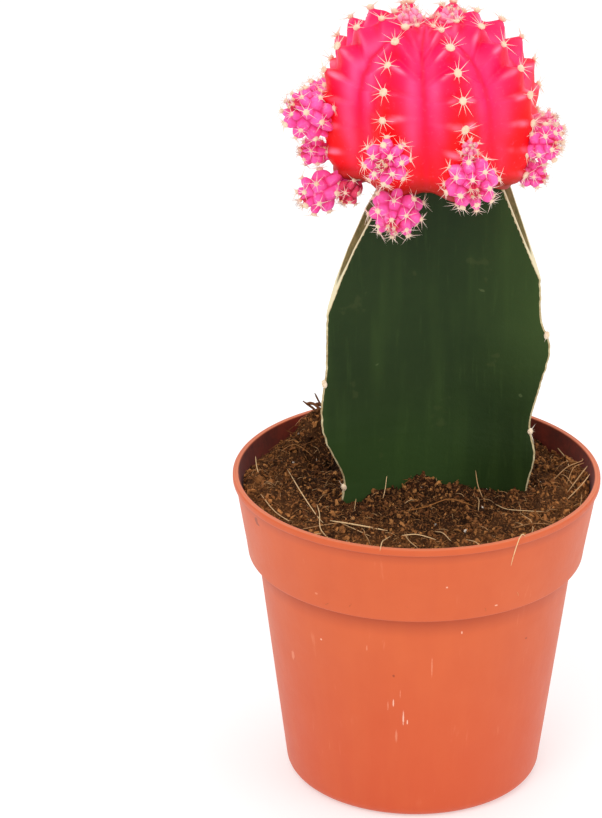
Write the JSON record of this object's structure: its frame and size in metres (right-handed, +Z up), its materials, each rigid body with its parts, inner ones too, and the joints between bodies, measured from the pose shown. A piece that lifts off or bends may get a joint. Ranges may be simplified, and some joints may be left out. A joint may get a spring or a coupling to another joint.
{
  "type": "potted moon cactus",
  "caption": "Grafted moon cactus: a ribbed red globe with pink offsets on a three-winged green rootstock, planted in peat in a terracotta-coloured plastic pot.",
  "frame": {"origin": "centre of the circle that the pot stands on", "axes": "+Z up along the pot's axis, -Y towards the viewer in the reference view, +X to the viewer's right"},
  "size_m": [0.055, 0.055, 0.1208],
  "materials": {
    "pot_plastic": "smooth moulded, faintly scuffed",
    "peat": "rough and crumbly, with coir fibres",
    "green_skin": "matt waxy skin with corky margins",
    "red_skin": "smooth waxy skin",
    "pink_skin": "smooth waxy skin"
  },
  "bodies": {
    "root": {"pot": "pot_plastic", "potting_soil": "peat", "rootstock": "green_skin", "scion": "red_skin", "offset_01": "pink_skin", "offset_02": "pink_skin", "offset_03": "pink_skin", "offset_04": "pink_skin", "offset_05": "pink_skin", "offset_06": "pink_skin", "offset_07": "pink_skin", "offset_08": "pink_skin", "offset_09": "pink_skin", "offset_10": "pink_skin", "offset_11": "pink_skin", "offset_12": "pink_skin", "offset_13": "pink_skin", "offset_14": "pink_skin", "offset_15": "pink_skin", "offset_16": "pink_skin", "offset_17": "pink_skin", "offset_18": "pink_skin", "offset_19": "pink_skin"}
  },
  "joints": []
}
